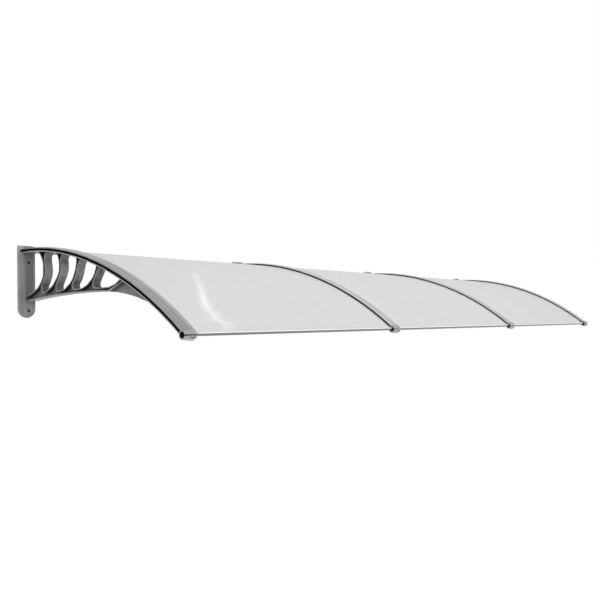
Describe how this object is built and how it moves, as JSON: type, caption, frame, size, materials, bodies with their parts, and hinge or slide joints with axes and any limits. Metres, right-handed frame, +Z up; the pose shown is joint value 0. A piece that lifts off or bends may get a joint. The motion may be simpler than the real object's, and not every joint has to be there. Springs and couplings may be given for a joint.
{
  "type": "door canopy",
  "caption": "Long curved door canopy with translucent roof sheets on moulded fan-ribbed wall brackets, joined by cover strips and edged with slim bars.",
  "frame": {"origin": "on the wall face, at the middle of the canopy's length and the height of the rear sheet edge", "axes": "+X along the wall, left to right seen from the front; +Y into the wall, so the roof reaches out along -Y; +Z up"},
  "size_m": [3.1085, 0.8543, 0.3062],
  "materials": {
    "bracket_plastic": "satin moulded grey plastic",
    "cover_plastic": "satin moulded light grey plastic",
    "sheet_polycarbonate": "translucent frosted polycarbonate with a soft sheen",
    "bar_aluminium": "satin anodised aluminium",
    "seal_rubber": "matt black rubber",
    "screw_steel": "zinc plated steel"
  },
  "bodies": {
    "root": {"bracket_1": "bracket_plastic", "cover_strip_1": "cover_plastic", "cover_screw_1_1": "screw_steel", "cover_screw_1_2": "screw_steel", "cover_screw_1_3": "screw_steel", "cover_screw_1_4": "screw_steel", "hole_plug_1_1": "seal_rubber", "hole_plug_1_2": "seal_rubber", "bracket_2": "bracket_plastic", "cover_strip_2": "cover_plastic", "cover_screw_2_1": "screw_steel", "cover_screw_2_2": "screw_steel", "cover_screw_2_3": "screw_steel", "cover_screw_2_4": "screw_steel", "hole_plug_2_1": "seal_rubber", "hole_plug_2_2": "seal_rubber", "bracket_3": "bracket_plastic", "cover_strip_3": "cover_plastic", "cover_screw_3_1": "screw_steel", "cover_screw_3_2": "screw_steel", "cover_screw_3_3": "screw_steel", "cover_screw_3_4": "screw_steel", "hole_plug_3_1": "seal_rubber", "hole_plug_3_2": "seal_rubber", "bracket_4": "bracket_plastic", "cover_strip_4": "cover_plastic", "cover_screw_4_1": "screw_steel", "cover_screw_4_2": "screw_steel", "cover_screw_4_3": "screw_steel", "cover_screw_4_4": "screw_steel", "hole_plug_4_1": "seal_rubber", "hole_plug_4_2": "seal_rubber", "roof_sheet_1": "sheet_polycarbonate", "front_bar_1": "bar_aluminium", "rear_bar_1": "bar_aluminium", "wall_seal_1": "seal_rubber", "roof_sheet_2": "sheet_polycarbonate", "front_bar_2": "bar_aluminium", "rear_bar_2": "bar_aluminium", "wall_seal_2": "seal_rubber", "roof_sheet_3": "sheet_polycarbonate", "front_bar_3": "bar_aluminium", "rear_bar_3": "bar_aluminium", "wall_seal_3": "seal_rubber"}
  },
  "joints": []
}
